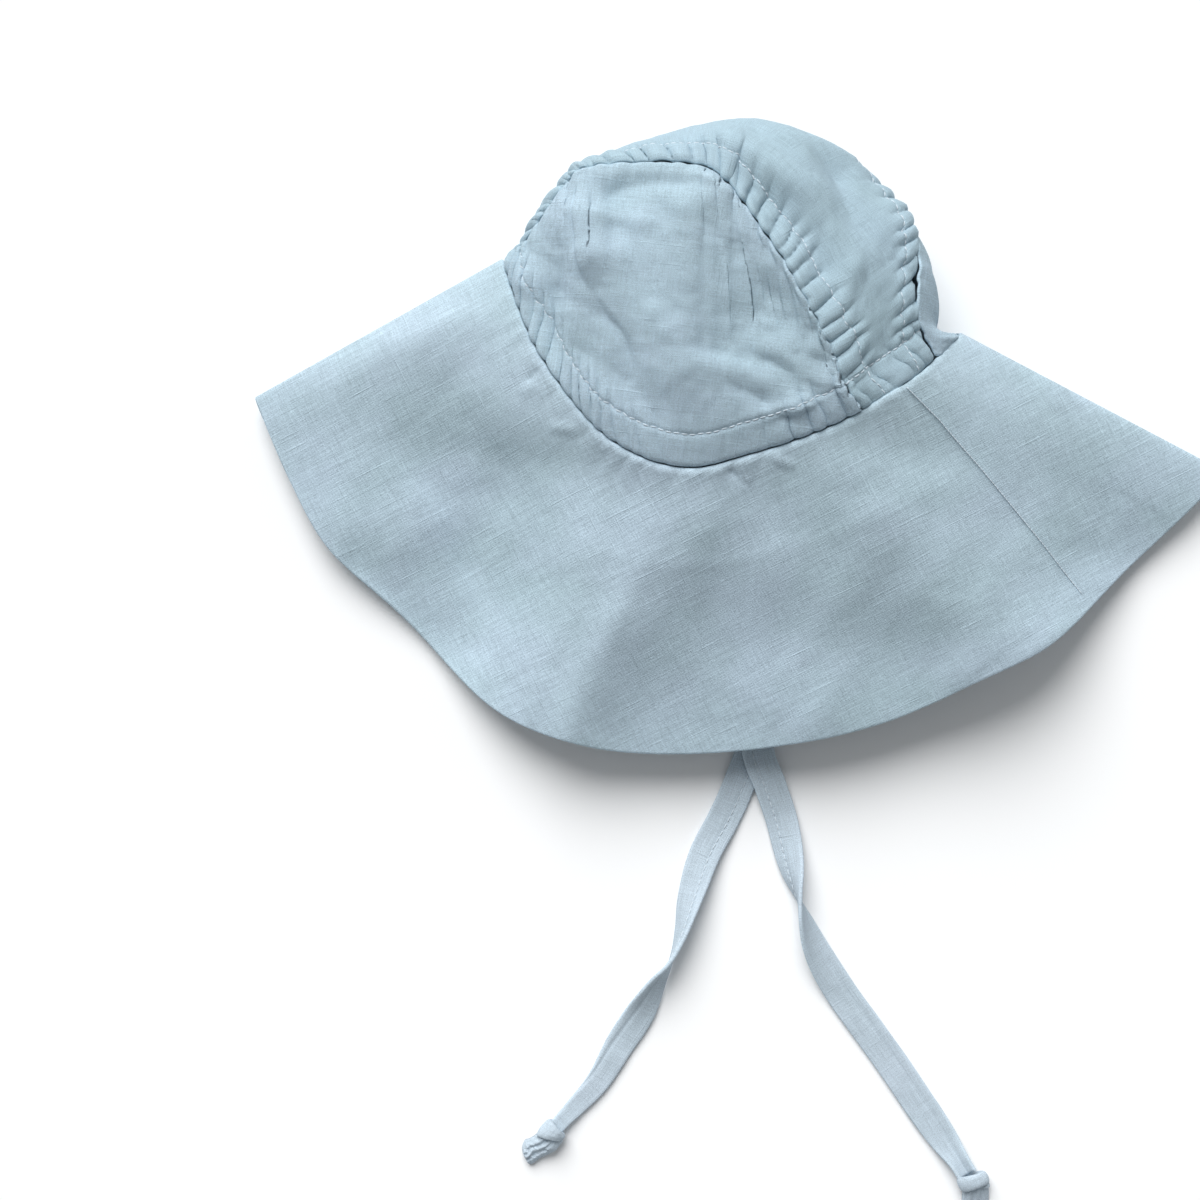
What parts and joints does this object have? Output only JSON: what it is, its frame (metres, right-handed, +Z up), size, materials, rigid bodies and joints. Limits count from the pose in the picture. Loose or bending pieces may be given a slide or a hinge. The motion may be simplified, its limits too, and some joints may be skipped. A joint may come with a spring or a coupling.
{
  "type": "sun hat",
  "caption": "Soft cloth sun hat with a wide floppy brim, a gathered panelled crown and knotted chin ties, lying folded on its side.",
  "frame": {"origin": "middle of the hat's box without its ties, on the surface that it lies on", "axes": "+X from the front of the hat to its back, +Y towards the top of the crown, +Z up from the surface"},
  "size_m": [0.3372, 0.3807, 0.0634],
  "materials": {
    "brim_linen": "washed linen, pale blue-grey",
    "crown_linen": "washed linen, pale blue-grey",
    "center_linen": "washed linen, pale blue-grey, gathered",
    "tie_linen": "washed linen, pale blue-grey, stitched"
  },
  "bodies": {
    "root": {"brim": "brim_linen", "crown_side_panel_upper": "crown_linen", "crown_center_panel": "center_linen", "crown_side_panel_lower": "crown_linen", "tie_left": "tie_linen", "tie_right": "tie_linen", "knot_left": "tie_linen", "knot_right": "tie_linen"}
  },
  "joints": []
}
